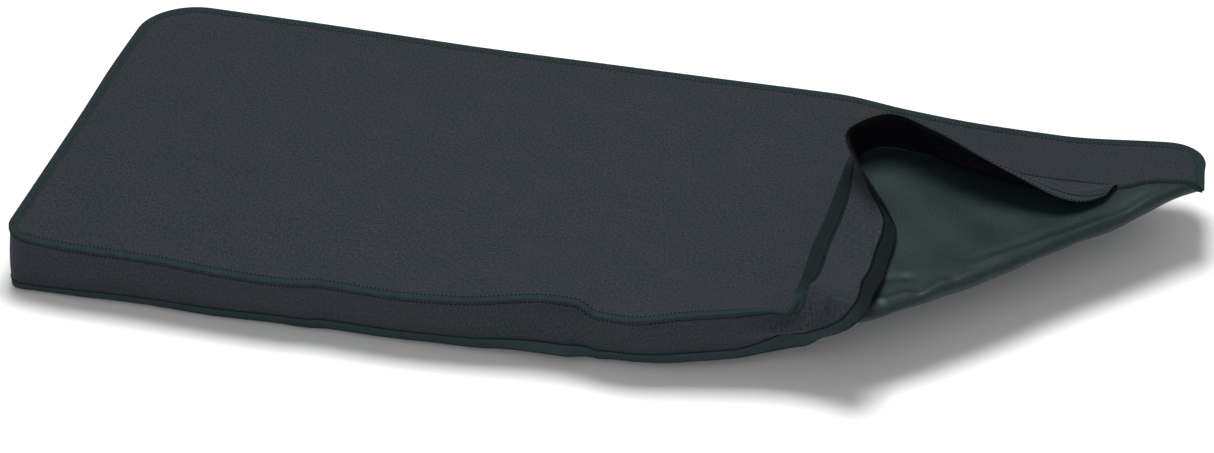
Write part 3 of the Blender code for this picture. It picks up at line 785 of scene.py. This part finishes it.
def stitches(name, centres, ahead, side, thread):
    """A row of stitches: short round-ended threads that lie on the surface."""
    rings, sides = 5, 6
    along = np.array([-0.5, -0.38, 0.0, 0.38, 0.5])
    girth = np.array([0.25, 0.85, 1.0, 0.85, 0.25])
    rise = np.array([-0.9, 0.0, 0.35, 0.0, -0.9])
    across = np.cross(side, ahead)
    turn = np.linspace(0, 2 * np.pi, sides, endpoint=False)
    centre = (centres[:, None] + ahead[:, None] * (along * STITCH_LENGTH)[None, :, None]
              + side[:, None] * (rise * THREAD)[None, :, None])
    spoke = (np.cos(turn)[None, None, :, None] * across[:, None, None]
             + np.sin(turn)[None, None, :, None] * side[:, None, None])
    points = centre[:, :, None] + spoke * (girth * THREAD)[None, :, None, None]
    count = len(centres)
    faces = []
    for s in range(count):
        first = s * rings * sides
        for i in range(rings - 1):
            for j in range(sides):
                a, b = first + i * sides + j, first + i * sides + (j + 1) % sides
                faces.append([a, b, b + sides, a + sides])
        faces.append([first + j for j in range(sides - 1, -1, -1)])
        faces.append([first + (rings - 1) * sides + j for j in range(sides)])
    round_thread = (turn * THREAD)[None, None, :] + np.zeros((count, 1, 1))
    flat = np.stack(np.broadcast_arrays((along * STITCH_LENGTH)[None, :, None], round_thread), -1)
    return make_piece(name, points.reshape(-1, 3), faces, flat.reshape(-1, 2), [thread],
                      [0] * len(faces), [])


def stitches_around():
    """Stations of the stitches round the whole outline, and the seam's direction at each."""
    count = int(AROUND / STITCH_PITCH)
    q = np.arange(count) * AROUND / count
    return q, unit(seam(q + STATION_STEP) - seam(q - STATION_STEP))


def tape_stitches():
    """The stitch line near the edge tape's inner edge, on its upper side."""
    q, ahead = stitches_around()
    line = inward(q, EDGE_STITCHES_AT * EDGE_TAPE_WIDTH)
    centres = lay(line, EDGE_TAPE_HALF * EDGE_GROOVE + THREAD * 0.4)
    side = outer_side(line[:, 0], line[:, 1])
    return stitches("stitches_edge", centres, ahead, side, THREAD_PALE)


def lower_stitches():
    """The dark stitch line that sews the tape's lower side to the skirt."""
    q, ahead = stitches_around()
    share = LOWER_STITCHES_AT * smooth_table(TAPE_LIP, q) / SKIRT_DROP
    side = skirt_side(q, share)[:, 0]
    centres = skirt(q, share)[:, 0] + side * (TAPE_OFF + THREAD * 0.3)
    return stitches("stitches_lower", centres, ahead, side, THREAD_DARK)


def hem_stitches(name, first, last, down):
    """A stitch line on the hem tape's outer side, a share of the tape's height down."""
    count = int((last - first) / STITCH_PITCH)
    q = first + (np.arange(count) + 0.5) * (last - first) / count
    tape_from = seam_and_tape(q)[1]
    share = tape_from + down * (1 - tape_from)
    side = skirt_side(q, share)[:, 0]
    centres = skirt(q, share)[:, 0] + side * (HEM_TAPE_HALF * HEM_GROOVE + THREAD * 0.4)
    ahead = unit((skirt(q + STATION_STEP, share) - skirt(q - STATION_STEP, share))[:, 0])
    return stitches(name, centres, ahead, side, THREAD_DARK)


top = build_top()
edge_tape = build_edge_tape()
tape_stitches()
lower_stitches()
STRIPS = (
    ("front", FRONT_LEFT_JOIN, FLAP_JOIN),
    ("right", FLAP_JOIN, FLAP_END),
    ("back", BACK_START, BACK_LEFT_JOIN),
    ("left", BACK_LEFT_JOIN, FRONT_LEFT_JOIN + AROUND),
)
for strip, first, last in STRIPS:
    cloth = build_skirt(strip, first, last)
    hem_tape = build_hem_tape(strip, first, last)
    upper_row = hem_stitches("stitches_hem_" + strip, first, last, HEM_STITCHES_AT)
    lower_row = hem_stitches("stitches_rim_" + strip, first, last, RIM_STITCHES_AT)


# Floor, lights and camera
def build_floor():
    """A plain pale floor."""
    mesh = bpy.data.meshes.new("floor")
    square = ((-1, -1), (1, -1), (1, 1), (-1, 1))
    corners = [(x * FLOOR_REACH, y * FLOOR_REACH, FLOOR) for x, y in square]
    mesh.from_pydata(corners, [], [(0, 1, 2, 3)])
    material = bpy.data.materials.new("pale_floor")
    material.use_nodes = True
    shader = material.node_tree.nodes["Principled BSDF"]
    shader.inputs["Base Color"].default_value = (0.93, 0.93, 0.93, 1)
    shader.inputs["Roughness"].default_value = 0.9
    shader.inputs["Specular IOR Level"].default_value = 0.1
    mesh.materials.append(material)
    floor = bpy.data.objects.new("floor", mesh)
    bpy.context.scene.collection.objects.link(floor)
    return floor


def turned_and_placed(right, up, back, at):
    """The matrix of an object with those axes at that place."""
    columns = np.stack([right, up, back, at], 1)
    return Matrix([list(row) for row in columns] + [[0, 0, 0, 1]])


def area_light(name, at, aim, size, energy):
    """A soft square white light that faces its aim."""
    data = bpy.data.lights.new(name, "AREA")
    data.shape = "SQUARE"
    data.size = size
    data.energy = energy
    light = bpy.data.objects.new(name, data)
    bpy.context.scene.collection.objects.link(light)
    back = unit(np.array(at, float) - np.array(aim, float))
    right = unit(np.cross((0, 0, 1.0), back))
    light.matrix_world = turned_and_placed(right, np.cross(back, right), back, at)
    return light


def build_camera():
    """The camera that took the photograph."""
    sine, cosine = math.sin(CAMERA_AZIMUTH), math.cos(CAMERA_AZIMUTH)
    rise, level = math.sin(CAMERA_ELEVATION), math.cos(CAMERA_ELEVATION)
    back = np.array([sine * level, -cosine * level, rise])
    right = np.array([cosine, sine, 0.0])
    up = np.cross(back, right)
    turned = math.cos(CAMERA_ROLL) * right + math.sin(CAMERA_ROLL) * up
    risen = -math.sin(CAMERA_ROLL) * right + math.cos(CAMERA_ROLL) * up
    data = bpy.data.cameras.new("camera")
    data.sensor_width = 36.0
    data.lens = CAMERA_LENS
    data.clip_start = 0.05
    data.clip_end = 60.0
    camera = bpy.data.objects.new("camera", data)
    bpy.context.scene.collection.objects.link(camera)
    camera.matrix_world = turned_and_placed(turned, risen, back, CAMERA_AT)
    bpy.context.scene.camera = camera


floor = build_floor()
lights = [
    area_light("key", at=(-0.1, 0.3, 2.85), aim=(0, 0, 0), size=1.3, energy=89),
    area_light("fill", at=(0.2, -3.2, 1.6), aim=(0, 0, 0), size=2.6, energy=38),
]
world = bpy.data.worlds.new("studio")
world.use_nodes = True
sky = world.node_tree.nodes["Background"]
sky.inputs["Color"].default_value = (1.0, 1.0, 1.0, 1)
sky.inputs["Strength"].default_value = WORLD_STRENGTH
bpy.context.scene.world = world
bpy.context.scene.view_settings.view_transform = "Standard"
build_camera()
